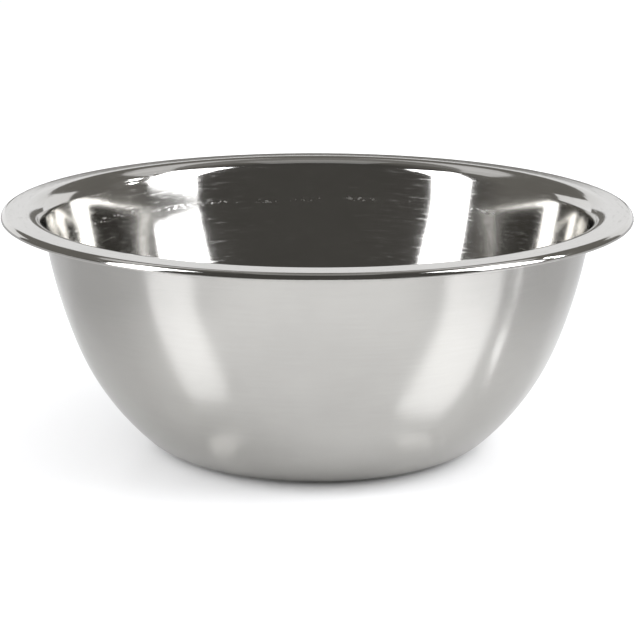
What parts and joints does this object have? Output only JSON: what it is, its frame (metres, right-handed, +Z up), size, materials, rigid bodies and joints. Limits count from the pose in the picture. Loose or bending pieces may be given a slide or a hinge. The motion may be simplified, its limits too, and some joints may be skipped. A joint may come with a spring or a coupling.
{
  "type": "mixing bowl",
  "caption": "Round stainless-steel mixing bowl with a flat base, a curved wall and a wide flange with a turned-down, hemmed edge, for mixing and holding food.",
  "frame": {"origin": "centre of the base, on the plane that the bowl stands on", "axes": "+Z up along the bowl's axis of revolution; X and Y are horizontal, and any pair does because the bowl is round"},
  "size_m": [0.28, 0.28, 0.1085],
  "materials": {
    "stainless_steel": "18/8 stainless sheet: mirror-polished inside and on the flange with fine spinning marks, satin-polished outside"
  },
  "bodies": {
    "root": {"bowl": "stainless_steel"}
  },
  "joints": []
}
